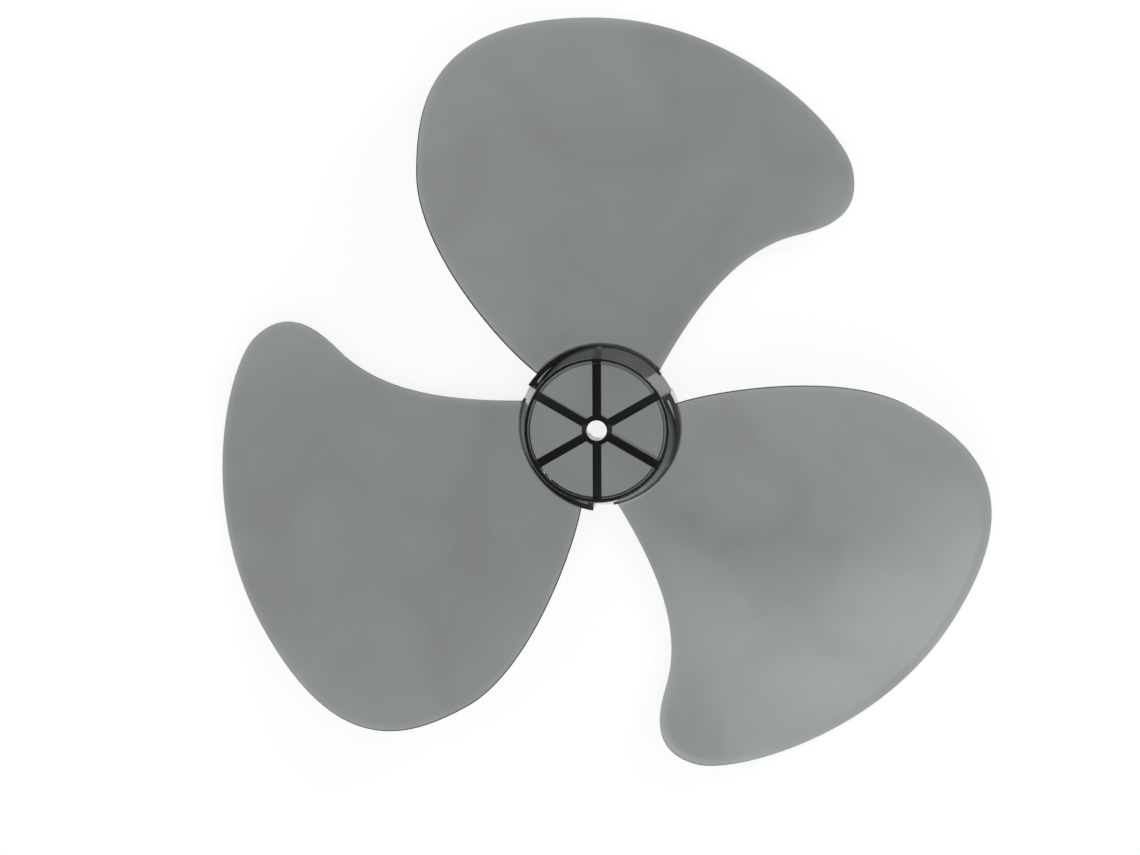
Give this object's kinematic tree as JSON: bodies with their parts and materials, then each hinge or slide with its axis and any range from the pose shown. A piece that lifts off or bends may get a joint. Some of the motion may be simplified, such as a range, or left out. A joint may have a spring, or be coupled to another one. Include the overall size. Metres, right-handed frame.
{
  "type": "fan blade",
  "caption": "Axial fan blade: wide swept, cambered plastic blades moulded on a ribbed cup hub, with a central shaft bore and a rear slot for the shaft's drive pin.",
  "frame": {"origin": "centre of the shaft bore at its front end, in the hub's front face", "axes": "+Z along the hub's axis and out of the front, +Y along the centre line of the first blade, +X towards that blade's leading tip; the fan turns clockwise as seen from +Z"},
  "size_m": [0.3171, 0.3066, 0.0263],
  "materials": {
    "smoke_plastic": "clear smoke-grey styrene-type plastic, glossy as moulded"
  },
  "bodies": {
    "root": {"fan_blade": "smoke_plastic"}
  },
  "joints": []
}
